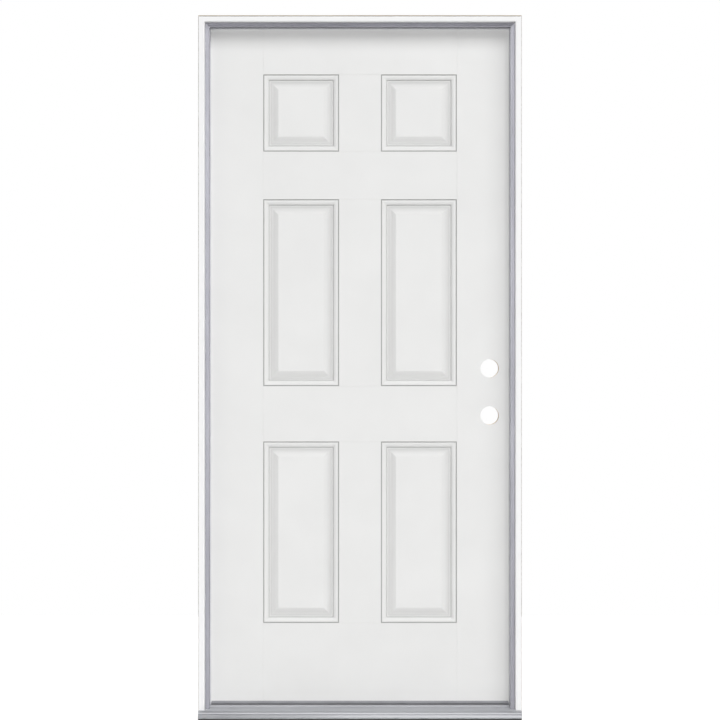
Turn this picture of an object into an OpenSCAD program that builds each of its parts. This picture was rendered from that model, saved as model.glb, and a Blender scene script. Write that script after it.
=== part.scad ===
// Six-panel entry door, pre-hung in its own frame. It swings inwards, and its hinges are on
// the left as seen from outside.
// Millimetres. X runs to the right as seen from outside, Y runs into the house and Z runs up.
// The origin is at the foot of the frame, on its centre line, at mid depth of the jambs.

/* [Slab] */
// Width of the door slab
slab_w = 908; // [780:1:1100]
// Height of the door slab
slab_h = 2007; // [1850:1:2450]
// Thickness of the door slab
slab_t = 44.5; // [42:0.5:52]
// Thickness of each moulded skin
skin_t = 2; // [1.5:0.1:2.5]
// Width of the wooden edge stiles inside the slab
edge_stile_w = 32; // [26:1:40]
// Height of the top rail inside the slab
core_top_rail_h = 36; // [26:1:60]
// Height of the bottom rail inside the slab
core_bottom_rail_h = 48; // [30:1:90]

/* [Panels] */
// Face width of the outer stiles
stile_w = 167; // [140:1:190]
// Face width of the mullion between the two columns of panels
mullion_w = 124; // [90:1:150]
// Face height of the top rail
top_rail_h = 146; // [110:1:180]
// Height of the small upper panels
small_panel_h = 229; // [180:1:280]
// Face height of the rail below the small panels
frieze_rail_h = 141; // [100:1:170]
// Face height of the lock rail
lock_rail_h = 164; // [130:1:200]
// Height of the lower panels
lower_panel_h = 538; // [430:1:620]
// Face height of the bottom rail
bottom_rail_h = 235; // [180:1:280]
// Depth of the recess round each raised panel
recess_d = 8.5; // [6:0.5:10]
// Depth of the raised field below the face
field_d = 1.5; // [0.5:0.5:3]

/* [Frame] */
// Depth of the jambs, from the outside edge to the inside edge
jamb_d = 116; // [110:1:170]
// Thickness of the jambs at their edges
jamb_t = 19; // [17:0.5:24]
// Height of the stop above the rabbets
stop_t = 12; // [10:0.5:16]
// Depth of the rabbet in front of the stop
front_rabbet_d = 28; // [12:1:36]
// Gap between the slab and the jambs
gap = 3; // [2.6:0.1:4]
// Space that the seal fills between the stop and the slab
seal_gap = 3.1; // [2.8:0.1:5]
// Thickness of the facing on the stop
facing_t = 1.2; // [1:0.1:1.6]

/* [Sill] */
// Height of the underside of the slab above the foot of the frame
slab_z = 47; // [44:0.5:56]
// Height of the top of the threshold cap
cap_top_z = 40; // [38:0.5:41]
// Height of the deck where it meets the threshold cap
deck_back_z = 34; // [32:0.5:35]
// Height of the deck at its nosing
deck_nose_z = 28; // [25:0.5:30]
// How far the nosing stands in front of the jambs
nosing_d = 26; // [20:1:40]
// Thickness of the deck extrusion
deck_t = 2; // [1.6:0.1:2.4]

/* [Lock preparation] */
// Diameter of the bores through the slab
cross_bore_d = 54; // [50:0.5:56]
// Distance from the lock edge to the middle of the bores
backset = 69.9; // [60:0.1:72]
// Height of the latch bore above the underside of the slab
latch_h = 850; // [800:1:950]
// Distance from the latch bore up to the deadbolt bore
bolt_spacing = 139.7; // [130:0.1:150]
// Diameter of the bores in the lock edge
edge_bore_d = 25.4; // [22:0.1:26]
// Diameter of the bolts' bores in the strike jamb
strike_bore_d = 28.6; // [26:0.1:30]

/* [Hinges] */
// Height of each hinge
hinge_h = 102; // [90:1:127]
// Distance from the outside face of the slab to the far edge of a leaf
leaf_backset = 7; // [5:0.5:12]
// Thickness of the leaves
leaf_t = 2.5; // [2:0.1:3]
// Corner radius of the leaves
leaf_r = 16; // [6:1:16]
// Outside diameter of the knuckles
knuckle_d = 13; // [12:0.1:13.4]
// Diameter of the hinge pins
pin_d = 6.4; // [5.5:0.1:7]
// Distance from the inside face of the slab to the middle of the pin
pin_offset = 7.5; // [7.5:0.1:9]
// Distance from the top of the slab to the middle of the top hinge
top_hinge_drop = 178; // [130:1:220]
// Distance from the foot of the slab to the middle of the bottom hinge
bottom_hinge_rise = 280; // [200:1:320]

/* [Hidden] */
$fn = 48;

// Paint, metal and filling, as sRGB names and values.
primed_face = [0.91, 0.91, 0.91];
primed_frame = [0.97, 0.97, 0.97];
aluminium = [0.75, 0.75, 0.77];
grey_cap = [0.6, 0.6, 0.62];
grey_vinyl = [0.42, 0.42, 0.44];
pale_foam = [0.85, 0.85, 0.88];
bare_pine = [0.85, 0.72, 0.52];
yellow_foam = [0.9, 0.85, 0.65];
satin_steel = [0.66, 0.65, 0.62];

// Overall sizes, which follow from the slab, its gaps and its jambs.
frame_w = slab_w + 2 * gap + 2 * jamb_t;
frame_h = slab_z + slab_h + gap + jamb_t;
outside_y = -jamb_d / 2;
inside_y = jamb_d / 2;
slab_y = inside_y - slab_t / 2;
stop_face_y = outside_y + front_rabbet_d;
rabbet_y = inside_y - slab_t - seal_gap;
stop_u = jamb_t + stop_t;
facing_u = stop_u + facing_t;

// Clearances: one between parts that only pass each other, one round fasteners, one on pins.
pass = 0.3;
hole_play = 0.2;
pin_play = 0.08;
over = 1;

// Small shapes on the jambs.
eased_r = 1.5;
reveal_r = 4;
inside_eased_r = 1.5;
kerf_w = 3;
kerf_d = 11;
kerf_u = jamb_t + 1;
bulb_r = (seal_gap - pass) / 2 + 0.2;
seal_reach_u = facing_u + 1.2 + bulb_r;
mitre_reach = stop_u + 12;

// Panels, in the slab's own frame: x from its centre line, z from its underside.
panel_w = (slab_w - 2 * stile_w - mullion_w) / 2;
upper_panel_h = slab_h - bottom_rail_h - lower_panel_h - lock_rail_h - frieze_rail_h
    - small_panel_h - top_rail_h;
lower_panel_z = bottom_rail_h;
upper_panel_z = lower_panel_z + lower_panel_h + lock_rail_h;
small_panel_z = upper_panel_z + upper_panel_h + frieze_rail_h;
panel_rows = [
    [lower_panel_z, lower_panel_h],
    [upper_panel_z, upper_panel_h],
    [small_panel_z, small_panel_h]
];
panel_x = (mullion_w + panel_w) / 2;

// Section of the moulding round a panel: [distance in from its outline, depth below the face].
// A narrow quirk marks the outline, a shallow ovolo runs down to a crease with a small fillet,
// and a bevel climbs in an S to the raised field.
moulding_w = 48;
quirk_w = 3.2;
quirk_d = 2.7;
ovolo_u = 3.3;
ovolo_w = 14;
ovolo_top_d = 0.8;
ovolo_d = 6.5;
ovolo_end_angle = 70;
crease_u = 18;
fillet_u = 19.3;
fillet_w = 2;
fillet_h = 0.7;
bevel_u = 25;
bevel_w = 22;
bevel_skew = 1.2;
// Share of the bevel's climb that is done at share s of its width.
function climb(s) = let(t = pow(s, bevel_skew)) t * t * (3 - 2 * t);
moulding = concat(
    [[0, 0], [0.3, 0], [1, quirk_d], [quirk_w - 0.9, quirk_d]],
    [for (a = [0 : ovolo_end_angle / 5 : ovolo_end_angle]) [
        ovolo_u + ovolo_w * sin(a),
        ovolo_top_d + ovolo_d * (1 - cos(a))
    ]],
    [
        [crease_u - 0.4, recess_d - 0.3], [crease_u, recess_d], [crease_u + 0.6, recess_d],
        [fillet_u, recess_d - fillet_h], [fillet_u + fillet_w, recess_d - fillet_h],
        [fillet_u + fillet_w + 0.8, recess_d]
    ],
    [for (s = [0 : 1 / 8 : 1.001]) [
        bevel_u + bevel_w * s,
        recess_d - (recess_d - field_d) * climb(s)
    ]],
    [[moulding_w, field_d]]
);

// Rail and stile lines pressed into the skins.
line_w = 1.8;
line_d = 0.6;

// Lock preparation, in the slab's own frame.
bore_x = slab_w / 2 - backset;
bore_heights = [latch_h, latch_h + bolt_spacing];
lock_block_w = 100;
lock_block_h = 380;
lock_block_z = latch_h + bolt_spacing / 2 - lock_block_h / 2;
faceplate_w = 25.4;
faceplate_h = 57;
faceplate_d = 3;
faceplate_r = 6;
strike_w = 32;
strike_h = 57;
strike_d = 2;

// Hinges: the pin's place in the frame, and where each hinge sits.
pin_x = -slab_w / 2 - gap / 2;
pin_y = inside_y + pin_offset;
leaf_x = gap / 2;
leaf_reach = slab_t + pin_offset - leaf_backset;
hinge_low_z = slab_z + bottom_hinge_rise;
hinge_high_z = slab_z + slab_h - top_hinge_drop;
hinge_mid_z = (hinge_low_z + hinge_high_z) / 2;
hinge_zs = [hinge_low_z, hinge_mid_z, hinge_high_z];
knuckles = 5;
knuckle_play = 0.4;
knuckle_h = (hinge_h - (knuckles - 1) * knuckle_play) / knuckles;
plate_clear = knuckle_d / 2 + 0.5;
near_hole = leaf_reach - 25;
far_hole = leaf_reach - 12;
leaf_holes = [
    [-near_hole, -hinge_h / 2 + 13], [-far_hole, -hinge_h / 8],
    [-near_hole, hinge_h / 8], [-far_hole, hinge_h / 2 - 13]
];
head_r = 4.5;
shank_r = 2.1;
frame_screw_l = 16;
door_screw_l = 26;
cross_w = 0.9;
cross_l = 4.8;
cross_d = 1.4;

// Sill section, as [y, z].
nose_y = outside_y - nosing_d;
nose_r = 4;
nose_foot_z = 9;
core_setback = 8;
core_play = 0.2;
deck_back_y = outside_y + 63;
upstand_t = 1.5;
upstand_top_z = cap_top_z - 1;
cap_back_y = inside_y - 8;
deck_slope = (deck_back_z - deck_nose_z) / (deck_back_y - nose_y - nose_r);
ribs = 7;
rib_pitch = 11;
rib_w = 2;
rib_h = 0.9;
first_rib_y = nose_y + 12;
cap_screw_xs = [-0.42, -0.14, 0.14, 0.42] * (slab_w - 2 * stop_u);
cap_screw_y = slab_y - 4;
cap_screw_l = 26;

// Screws that hold the frame together: [y, height] along each leg.
corner_screw_z = frame_h - jamb_t / 2;
sill_screw_z = 15;
assembly_screws = [
    [outside_y + 34, corner_screw_z], [inside_y - 24, corner_screw_z],
    [outside_y + 34, sill_screw_z], [inside_y - 24, sill_screw_z]
];
assembly_screw_l = 50;
assembly_head_r = 4;
assembly_head_h = 2.5;
assembly_shank_r = 2;

// Sweep under the slab, in the slab's own frame.
sweep_t = 2;
lip_t = 1.2;
lip_h = 4.5;
barb_w = 3;
barb_h = 8;
sweep_inset = 1;
fin_ys = [-14, -3, 8];
fin_t = 1.1;

// A point on an arc's radius, for outlines with rounded corners.
function arc(x, y, r, a0, a1) =
    [for (i = [0 : 4]) let (a = a0 + (a1 - a0) * i / 4) [x + r * cos(a), y + r * sin(a)]];

// The path moved sideways by d, with its end points moved straight down.
function unit(v) = v / norm(v);
function left_of(a, b) = let (e = unit(b - a)) [-e[1], e[0]];
function moved(path, d) = [
    for (i = [0 : len(path) - 1])
        i == 0 || i == len(path) - 1 ? path[i] + [0, d] :
        let (
            n0 = left_of(path[i - 1], path[i]),
            n1 = left_of(path[i], path[i + 1]),
            n = unit(n0 + n1)
        ) path[i] + n * d / (n * n0)
];
function backwards(path) = [for (i = [len(path) - 1 : -1 : 0]) path[i]];

// ---------------------------------------------------------------- frame members

// Jamb section without its kerf: x is the distance in from the frame's outside, y is y.
module jamb_outline() {
    polygon(concat(
        arc(eased_r, outside_y + eased_r, eased_r, 180, 270),
        arc(jamb_t - reveal_r, outside_y + reveal_r, reveal_r, 270, 360),
        [[jamb_t, stop_face_y], [stop_u, stop_face_y], [stop_u, rabbet_y], [jamb_t, rabbet_y]],
        arc(jamb_t - inside_eased_r, inside_y - inside_eased_r, inside_eased_r, 0, 90),
        arc(inside_eased_r, inside_y - inside_eased_r, inside_eased_r, 90, 180)
    ));
}

// Notch that lets a jamb through the sill: square where the jamb is eased.
module jamb_notch() {
    translate([0, outside_y]) square([over + jamb_t, jamb_d + over]);
    translate([0, stop_face_y]) square([over + stop_u, rabbet_y - stop_face_y]);
}

module jamb_section() {
    difference() {
        jamb_outline();
        translate([kerf_u, rabbet_y - kerf_d]) square([kerf_w, kerf_d + over]);
    }
}

// Folded metal facing: a fluted flange on the front of the stop and a leg along its edge.
module facing_section() {
    flutes = 3;
    flute_w = 1.6;
    flute_pitch = (stop_t - 2) / flutes;
    leg_end_y = rabbet_y - 1;
    difference() {
        union() {
            translate([jamb_t + hole_play, stop_face_y - facing_t])
                square([stop_t + facing_t - hole_play, facing_t]);
            translate([stop_u, stop_face_y - facing_t])
                square([facing_t, leg_end_y - stop_face_y + facing_t]);
        }
        for (i = [0 : flutes - 1])
            translate([jamb_t + 2 + i * flute_pitch, stop_face_y - facing_t - over])
                square([flute_w, over + facing_t / 3]);
    }
}

// Kerf-in seal: a barb in the kerf, a pad between stop and slab, and a bulb past the stop.
module seal_section() {
    barb_in = kerf_d - 1.5;
    bulb_y = rabbet_y + seal_gap - pass - bulb_r;
    bulb_u = seal_reach_u - bulb_r;
    translate([kerf_u + hole_play, rabbet_y - barb_in])
        square([kerf_w - 2 * hole_play, barb_in + over]);
    translate([kerf_u - 0.7, rabbet_y])
        square([bulb_u - kerf_u + 0.7, seal_gap - pass]);
    translate([bulb_u, bulb_y]) circle(r = bulb_r);
}

// A leg on the left, cut at its top by the mitre.
module leg() {
    intersection() {
        translate([-frame_w / 2, 0, 0]) linear_extrude(frame_h) children();
        translate([-frame_w / 2, inside_y + over, 0]) rotate([90, 0, 0])
            linear_extrude(jamb_d + 2 * over)
                polygon([
                    [0, 0], [mitre_reach, 0],
                    [mitre_reach, frame_h - mitre_reach], [0, frame_h]
                ]);
    }
}

module right_leg() {
    mirror([1, 0, 0]) leg() children();
}

// The head, mitred at both ends.
module head() {
    intersection() {
        translate([0, 0, frame_h]) rotate([0, 90, 0])
            linear_extrude(frame_w, center = true) children();
        translate([0, inside_y + over, frame_h]) rotate([90, 0, 0])
            linear_extrude(jamb_d + 2 * over)
                polygon([
                    [-frame_w / 2, 0], [frame_w / 2, 0],
                    [frame_w / 2 - mitre_reach, -mitre_reach],
                    [-frame_w / 2 + mitre_reach, -mitre_reach]
                ]);
    }
}

// Holes or screws that hold the frame together, on the left side.
module assembly_fasteners(play, extra) {
    for (p = assembly_screws)
        translate([-frame_w / 2, p[0], p[1]]) rotate([0, 90, 0]) {
            translate([0, 0, -play])
                cylinder(r = assembly_head_r + play, h = assembly_head_h + play);
            cylinder(r = assembly_shank_r + play, h = assembly_screw_l + extra);
        }
}

module both_sides() {
    children();
    mirror([1, 0, 0]) children();
}

module assembly_holes() {
    both_sides() assembly_fasteners(hole_play, over);
}

module frame_screws() {
    color(satin_steel) both_sides() assembly_fasteners(0, 0);
}

module hinge_jamb() {
    color(primed_frame) difference() {
        leg() jamb_section();
        assembly_holes();
        for (z = hinge_zs) {
            at_pin(z) mirror([1, 0, 0]) leaf_plate(hole_play, leaf_t + hole_play / 2);
            at_pin(z) mirror([1, 0, 0]) leaf_screws(hole_play, frame_screw_l + over);
        }
    }
}

module strike_jamb() {
    color(primed_frame) difference() {
        right_leg() jamb_section();
        assembly_holes();
        for (z = bore_heights)
            translate([frame_w / 2 - jamb_t, slab_y, slab_z + z]) {
                rotate([0, 90, 0])
                    cylinder(d = strike_bore_d, h = 2 * (jamb_t + over), center = true);
                translate([-over, 0, 0])
                    plate_pocket(strike_w, strike_h, strike_d + over, faceplate_r);
            }
    }
}

module head_jamb() {
    color(primed_frame) difference() {
        head() jamb_section();
        assembly_holes();
    }
}

// Each facing and seal leg stands on the sill, so the sill's section is cut from its foot.
module standing_on_sill() {
    difference() {
        children();
        rotate([90, 0, 90]) linear_extrude(frame_w, center = true) sill_envelope();
    }
}

module hinge_stop_facing() {
    color(aluminium) standing_on_sill() leg() facing_section();
}

module strike_stop_facing() {
    color(aluminium) standing_on_sill() right_leg() facing_section();
}

module head_stop_facing() {
    color(aluminium) head() facing_section();
}

module hinge_seal() {
    color(pale_foam) standing_on_sill() leg() seal_section();
}

module strike_seal() {
    color(pale_foam) standing_on_sill() right_leg() seal_section();
}

module head_seal() {
    color(pale_foam) head() seal_section();
}

// Tapered foam pad on the rabbet face, where the seal, the sill and the slab's corner meet.
module corner_pad() {
    pad_t = gap / 2;
    pad_h = 62;
    pad_d = 22;
    translate([-frame_w / 2 + jamb_t, rabbet_y + seal_gap + 0.5, cap_top_z + hole_play])
        rotate([90, 0, 90]) linear_extrude(pad_t)
            polygon([[0, 0], [pad_d, 0], [pad_d, pad_h / 3], [pad_d / 3, pad_h], [0, pad_h]]);
}

module hinge_corner_pad() {
    color(pale_foam) corner_pad();
}

module strike_corner_pad() {
    color(pale_foam) mirror([1, 0, 0]) corner_pad();
}

// ---------------------------------------------------------------- sill

function deck_z(y) = deck_back_z + (y - deck_back_y) * deck_slope;
function rib_outline(y) = [
    [y, deck_z(y)], [y, deck_z(y) + rib_h],
    [y + rib_w, deck_z(y + rib_w) + rib_h], [y + rib_w, deck_z(y + rib_w)]
];

// Top of the deck, from the foot of its nosing to its back edge.
deck_top = concat(
    [
        [nose_y - 0.8, nose_foot_z], [nose_y - 0.8, nose_foot_z + 1.9], [nose_y, nose_foot_z + 2.5],
        [nose_y, 18.6], [nose_y + 1.2, 19.4], [nose_y + 1.2, 20.2], [nose_y, 21]
    ],
    backwards(arc(nose_y + nose_r, deck_nose_z - nose_r, nose_r, 90, 180)),
    [for (i = [0 : ribs - 1]) each rib_outline(first_rib_y + i * rib_pitch)],
    [
        [deck_back_y, deck_back_z], [deck_back_y, upstand_top_z],
        [deck_back_y + upstand_t, upstand_top_z], [deck_back_y + upstand_t, deck_back_z],
        [inside_y, deck_back_z]
    ]
);

// Everything below the sill's upper surface, for cutting what stands on it.
module sill_envelope() {
    polygon(concat(
        deck_top,
        [[inside_y, -over], [nose_y - 0.8, -over]]
    ));
    cap_section();
}

module deck_section() {
    polygon(concat(
        deck_top,
        [
            [inside_y, 0], [inside_y - deck_t, 0], [inside_y - deck_t, deck_back_z - deck_t],
            [deck_back_y, deck_back_z - deck_t],
            [nose_y + nose_r, deck_nose_z - deck_t],
            [nose_y + deck_t, deck_nose_z - nose_r], [nose_y + deck_t, nose_foot_z]
        ]
    ));
}

module core_section() {
    front_y = nose_y + core_setback;
    back_y = inside_y - deck_t - core_play;
    drop = deck_t + core_play;
    polygon([
        [front_y, 0], [back_y, 0], [back_y, deck_back_z - drop],
        [deck_back_y, deck_back_z - drop], [front_y, deck_z(front_y) - drop]
    ]);
}

module cap_section() {
    front_y = deck_back_y + upstand_t + 0.1;
    polygon([
        [front_y, deck_back_z], [cap_back_y, deck_back_z], [cap_back_y, deck_back_z + 2],
        [cap_back_y - 4, cap_top_z], [front_y + 1.2, cap_top_z], [front_y, cap_top_z - 0.9]
    ]);
}

// A length of sill, with its ends notched round both jambs.
module notched_round_jambs() {
    difference() {
        rotate([90, 0, 90]) linear_extrude(frame_w, center = true) children();
        both_sides() translate([-frame_w / 2 - over, 0, -over])
            linear_extrude(slab_z + 2 * over) jamb_notch();
    }
}

module cap_fasteners(play, extra) {
    for (x = cap_screw_xs)
        translate([x, cap_screw_y, cap_top_z]) mirror([0, 0, 1])
            wood_screw(play, cap_screw_l + extra, 3);
}

module sill_core() {
    color(bare_pine) difference() {
        notched_round_jambs() core_section();
        cap_fasteners(hole_play, over);
        assembly_holes();
    }
}

module sill_deck() {
    color(aluminium) difference() {
        notched_round_jambs() deck_section();
        cap_fasteners(hole_play, over);
    }
}

module sill_cap() {
    color(grey_cap) difference() {
        notched_round_jambs() cap_section();
        cap_fasteners(hole_play, over);
    }
}

module sill_cap_screws() {
    color(satin_steel) for (x = cap_screw_xs)
        translate([x, cap_screw_y, cap_top_z]) mirror([0, 0, 1])
            recessed() wood_screw(0, cap_screw_l, 3);
}

// ---------------------------------------------------------------- hinges and screws

// Countersunk screw standing on its head, which is at z = 0, with its point up.
module wood_screw(play, length, head_h) {
    tip_h = 4;
    cylinder(r1 = head_r + play, r2 = shank_r + play, h = head_h);
    cylinder(r = shank_r + play, h = length - tip_h);
    translate([0, 0, length - tip_h])
        cylinder(r1 = shank_r + play, r2 = 0.4 + play, h = tip_h);
}

// Cuts a cross recess into a screw's head.
module recessed() {
    difference() {
        children();
        for (a = [0, 90])
            rotate([0, 0, a])
                translate([-cross_l / 2, -cross_w / 2, -over]) cube([cross_l, cross_w, cross_d + over]);
    }
}

module at_pin(z) {
    translate([pin_x, pin_y, z]) children();
}

// Plate of the leaf on the slab's side, let in by depth from the face of the slab's edge.
module leaf_plate(play, depth) {
    far = leaf_reach + play;
    half = hinge_h / 2 + play;
    near = plate_clear - (play > 0 ? 2 * plate_clear : 0);
    translate([leaf_x, 0, 0]) rotate([90, 0, 90]) linear_extrude(depth) intersection() {
        translate([-far, -half]) square([far - near, 2 * half]);
        union() {
            translate([-far, -half + leaf_r]) square([leaf_r, 2 * (half - leaf_r)]);
            translate([-far + leaf_r, -half]) square([far, 2 * half]);
            for (s = [-1, 1])
                translate([-far + leaf_r, s * (half - leaf_r)]) circle(r = leaf_r);
        }
    }
}

module leaf_screws(play, length) {
    for (p = leaf_holes)
        translate([leaf_x, p[0], p[1]]) rotate([0, 90, 0])
            wood_screw(play, length, leaf_t);
}

// One leaf: its plate, and the knuckles from the first, every other one.
module leaf(first) {
    difference() {
        union() {
            leaf_plate(0, leaf_t);
            for (k = [first : 2 : knuckles - 1])
                translate([0, 0, -hinge_h / 2 + k * (knuckle_h + knuckle_play)]) {
                    cylinder(d = knuckle_d, h = knuckle_h);
                    translate([leaf_x, -plate_clear - 1, 0])
                        cube([leaf_t, plate_clear + 1, knuckle_h]);
                }
        }
        cylinder(d = pin_d + 2 * pin_play, h = hinge_h + 2 * over, center = true);
        leaf_screws(hole_play, door_screw_l);
    }
}

module door_leaf(z) {
    color(satin_steel) at_pin(z) leaf(1);
}

module frame_leaf(z) {
    color(satin_steel) at_pin(z) mirror([1, 0, 0]) leaf(0);
}

module hinge_pin(z) {
    cap_h = 3.5;
    cap_r = knuckle_d / 2 - 0.6;
    color(satin_steel) at_pin(z) {
        translate([0, 0, -hinge_h / 2 - 2]) cylinder(d = pin_d, h = hinge_h + 2);
        translate([0, 0, hinge_h / 2]) cylinder(r = cap_r, h = cap_h - 1);
        translate([0, 0, hinge_h / 2 + cap_h - 1]) cylinder(r1 = cap_r, r2 = cap_r - 1.4, h = 1);
    }
}

module screw_group() {
    for (z = hinge_zs)
        for (p = leaf_holes)
            at_pin(z) translate([0, p[0], p[1]]) children();
}

module door_leaf_screws() {
    color(satin_steel) screw_group()
        translate([leaf_x, 0, 0]) rotate([0, 90, 0])
            recessed() wood_screw(0, door_screw_l, leaf_t);
}

module frame_leaf_screws() {
    color(satin_steel) screw_group()
        translate([-leaf_x, 0, 0]) rotate([0, -90, 0])
            recessed() wood_screw(0, frame_screw_l, leaf_t);
}

// ---------------------------------------------------------------- slab

module in_slab() {
    translate([0, slab_y, slab_z]) children();
}

// A closed ring of moulding round a w by h opening, from a section drawn in [u, depth].
// The ring lies on the outside face of the slab, with its centre on the origin.
module mitred_ring(w, h) {
    for (k = [0 : 3])
        rotate([0, 90 * k, 0]) {
            run = k % 2 == 0 ? w : h;
            half = (k % 2 == 0 ? h : w) / 2;
            intersection() {
                translate([0, -slab_t / 2, -half]) rotate([0, -90, 0])
                    linear_extrude(run, center = true) children();
                translate([0, 0, -half]) rotate([90, 0, 0])
                    linear_extrude(slab_t)
                        polygon([
                            [-run / 2, 0], [run / 2, 0],
                            [run / 2 - moulding_w, moulding_w], [-run / 2 + moulding_w, moulding_w]
                        ]);
            }
        }
}

module ring_section() {
    polygon(concat(moulding, backwards(moved(moulding, skin_t))));
}

// What the back of a moulding takes out of the filling behind it.
module relief_section() {
    polygon(concat(
        [[0, skin_t - over]], moved(moulding, skin_t), [[moulding_w, skin_t - over]]
    ));
}

module on_panels() {
    for (row = panel_rows)
        for (s = [-1, 1])
            translate([s * panel_x, 0, row[0] + row[1] / 2]) children();
}

// The flat field of a panel, from depth d0 to depth d1 below the face.
module field(w, h, d0, d1) {
    translate([-w / 2 + moulding_w, -slab_t / 2 + d0, -h / 2 + moulding_w])
        cube([w - 2 * moulding_w, d1 - d0, h - 2 * moulding_w]);
}

module pressed_line(length) {
    linear_extrude(length)
        polygon([[-line_w / 2, -over / 10], [line_w / 2, -over / 10], [0, line_d]]);
}

// Stile lines run the slab's height, and rail lines cross the mullion.
module pressed_lines() {
    for (s = [-1, 1])
        translate([s * (slab_w / 2 - stile_w), -slab_t / 2, -over]) pressed_line(slab_h + 2 * over);
    for (row = panel_rows)
        for (z = [row[0], row[0] + row[1]])
            translate([-mullion_w / 2 - line_w, -slab_t / 2, z]) rotate([0, 90, 0])
                pressed_line(mullion_w + 2 * line_w);
}

// The outside skin before its lock bores, in the slab's own frame.
module skin_blank() {
    difference() {
        translate([-slab_w / 2, -slab_t / 2, 0]) cube([slab_w, skin_t, slab_h]);
        for (row = panel_rows)
            for (s = [-1, 1])
                translate([s * panel_x - panel_w / 2, -slab_t / 2 - over, row[0]])
                    cube([panel_w, skin_t + 2 * over, row[1]]);
        pressed_lines();
    }
    for (row = panel_rows)
        for (s = [-1, 1])
            translate([s * panel_x, 0, row[0] + row[1] / 2]) {
                mitred_ring(panel_w, row[1]) ring_section();
                field(panel_w, row[1], field_d, field_d + skin_t);
            }
}

module lock_bores() {
    for (z = bore_heights) {
        translate([bore_x, 0, z]) rotate([90, 0, 0])
            cylinder(d = cross_bore_d, h = slab_t + 2 * over, center = true);
        translate([bore_x, 0, z]) rotate([0, 90, 0])
            cylinder(d = edge_bore_d, h = backset + over);
    }
}

// Pocket for a face plate with round corners, let into a face that looks along -X.
module plate_pocket(w, h, d, r) {
    rotate([90, 0, 90]) linear_extrude(d) {
        square([w, h - 2 * r], center = true);
        square([w - 2 * r, h], center = true);
        for (sx = [-1, 1])
            for (sz = [-1, 1])
                translate([sx * (w / 2 - r), sz * (h / 2 - r)]) circle(r = r);
    }
}

// Hinge mortises and screw holes, cut in the frame's own place.
module hinge_mortises() {
    for (z = hinge_zs)
        at_pin(z) {
            leaf_plate(hole_play, leaf_t + hole_play / 2);
            leaf_screws(hole_play, door_screw_l + over);
        }
}

module exterior_skin() {
    color(primed_face) difference() {
        in_slab() skin_blank();
        in_slab() lock_bores();
    }
}

module interior_skin() {
    color(primed_face) difference() {
        in_slab() mirror([0, 1, 0]) skin_blank();
        in_slab() lock_bores();
        hinge_mortises();
    }
}

inner_t = slab_t - 2 * skin_t;

module filling(x, z, w, h) {
    translate([x, -inner_t / 2, z]) cube([w, inner_t, h]);
}

module hinge_stile() {
    color(bare_pine) difference() {
        in_slab() filling(-slab_w / 2, 0, edge_stile_w, slab_h);
        hinge_mortises();
    }
}

module lock_stile() {
    color(bare_pine) in_slab() difference() {
        filling(slab_w / 2 - edge_stile_w, 0, edge_stile_w, slab_h);
        lock_bores();
        for (z = bore_heights)
            translate([slab_w / 2 - faceplate_d, 0, z])
                plate_pocket(faceplate_w, faceplate_h, faceplate_d + over, faceplate_r);
    }
}

module top_rail() {
    color(bare_pine) in_slab() filling(
        -slab_w / 2 + edge_stile_w, slab_h - core_top_rail_h,
        slab_w - 2 * edge_stile_w, core_top_rail_h
    );
}

module bottom_rail() {
    color(bare_pine) in_slab() difference() {
        filling(-slab_w / 2 + edge_stile_w, 0, slab_w - 2 * edge_stile_w, core_bottom_rail_h);
        translate([-slab_w / 2, -barb_w / 2 - hole_play, -over])
            cube([slab_w, barb_w + 2 * hole_play, barb_h + hole_play + over]);
    }
}

module lock_block_blank() {
    filling(slab_w / 2 - edge_stile_w - lock_block_w, lock_block_z, lock_block_w, lock_block_h);
}

module lock_block() {
    color(bare_pine) in_slab() difference() {
        lock_block_blank();
        lock_bores();
    }
}

module foam_core() {
    color(yellow_foam) in_slab() difference() {
        filling(
            -slab_w / 2 + edge_stile_w, core_bottom_rail_h,
            slab_w - 2 * edge_stile_w, slab_h - core_bottom_rail_h - core_top_rail_h
        );
        lock_block_blank();
        for (face = [0, 1])
            mirror([0, face, 0])
                for (row = panel_rows)
                    for (s = [-1, 1])
                        translate([s * panel_x, 0, row[0] + row[1] / 2]) {
                            mitred_ring(panel_w, row[1]) relief_section();
                            field(panel_w, row[1], skin_t - over, field_d + skin_t);
                        }
    }
}

// Vinyl sweep: a base with three fins under the slab, a barb in the bottom rail and a drip lip
// that laps the outside skin between the seals.
module sweep_barb_section() {
    translate([-barb_w / 2, -sweep_t]) square([barb_w, barb_h + sweep_t]);
}

module sweep_lip_section() {
    translate([-slab_t / 2 - lip_t, -sweep_t]) square([lip_t, lip_h + sweep_t]);
    translate([-slab_t / 2 - lip_t, -sweep_t]) square([2 * lip_t, sweep_t]);
}

module sweep_base_section() {
    fin_foot_z = cap_top_z + pass + 0.1 - slab_z;
    translate([-slab_t / 2, -sweep_t]) square([slab_t - 1.5, sweep_t]);
    for (y = fin_ys)
        polygon([
            [y, -sweep_t / 2], [y + fin_t, -sweep_t / 2],
            [y + fin_t - 1.5, fin_foot_z], [y - 1.5, fin_foot_z]
        ]);
}

module door_sweep() {
    barb_l = slab_w - 2 * edge_stile_w - 2 * hole_play;
    lip_w = slab_w - 2 * (seal_reach_u + 1 - jamb_t - gap);
    color(grey_vinyl) in_slab() {
        rotate([90, 0, 90]) {
            linear_extrude(slab_w - 2 * sweep_inset, center = true) sweep_base_section();
            linear_extrude(barb_l, center = true) sweep_barb_section();
            linear_extrude(lip_w, center = true) sweep_lip_section();
        }
    }
}

// ---------------------------------------------------------------- nodes

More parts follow.
